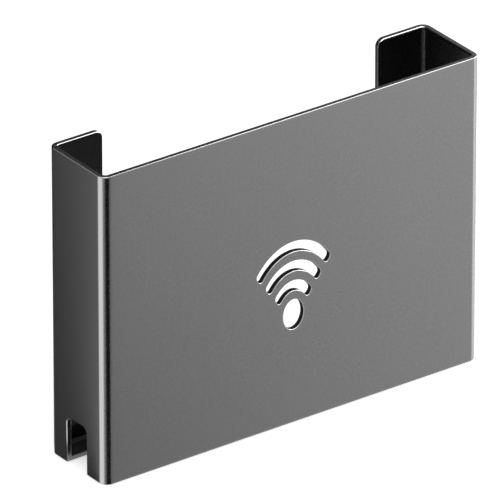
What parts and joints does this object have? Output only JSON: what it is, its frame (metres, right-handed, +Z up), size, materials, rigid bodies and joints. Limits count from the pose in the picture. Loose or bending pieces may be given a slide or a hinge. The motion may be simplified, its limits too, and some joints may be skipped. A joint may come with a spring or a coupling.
{
  "type": "wireless router wall holder",
  "caption": "Open-topped wall sleeve bent from dark grey sheet metal, with a cut-out signal symbol, cable notches, padded ledges and taped rear flanges, to hold a slim wireless unit.",
  "frame": {"origin": "middle of the footprint, on the surface that the sleeve stands on", "axes": "+X along the width, +Y from the front panel towards the wall, +Z up"},
  "size_m": [0.2, 0.0418, 0.1475],
  "materials": {
    "gunmetal_sheet": "gunmetal grey anodised sheet, satin, with a fine even grain",
    "foam_tape": "black closed-cell foam tape, matt",
    "pad_rubber": "dark grey anti-slip rubber, matt"
  },
  "bodies": {
    "root": {"sheet_sleeve": "gunmetal_sheet", "mounting_tape_left": "foam_tape", "mounting_tape_right": "foam_tape", "ledge_pad_left": "pad_rubber", "ledge_pad_right": "pad_rubber"}
  },
  "joints": []
}
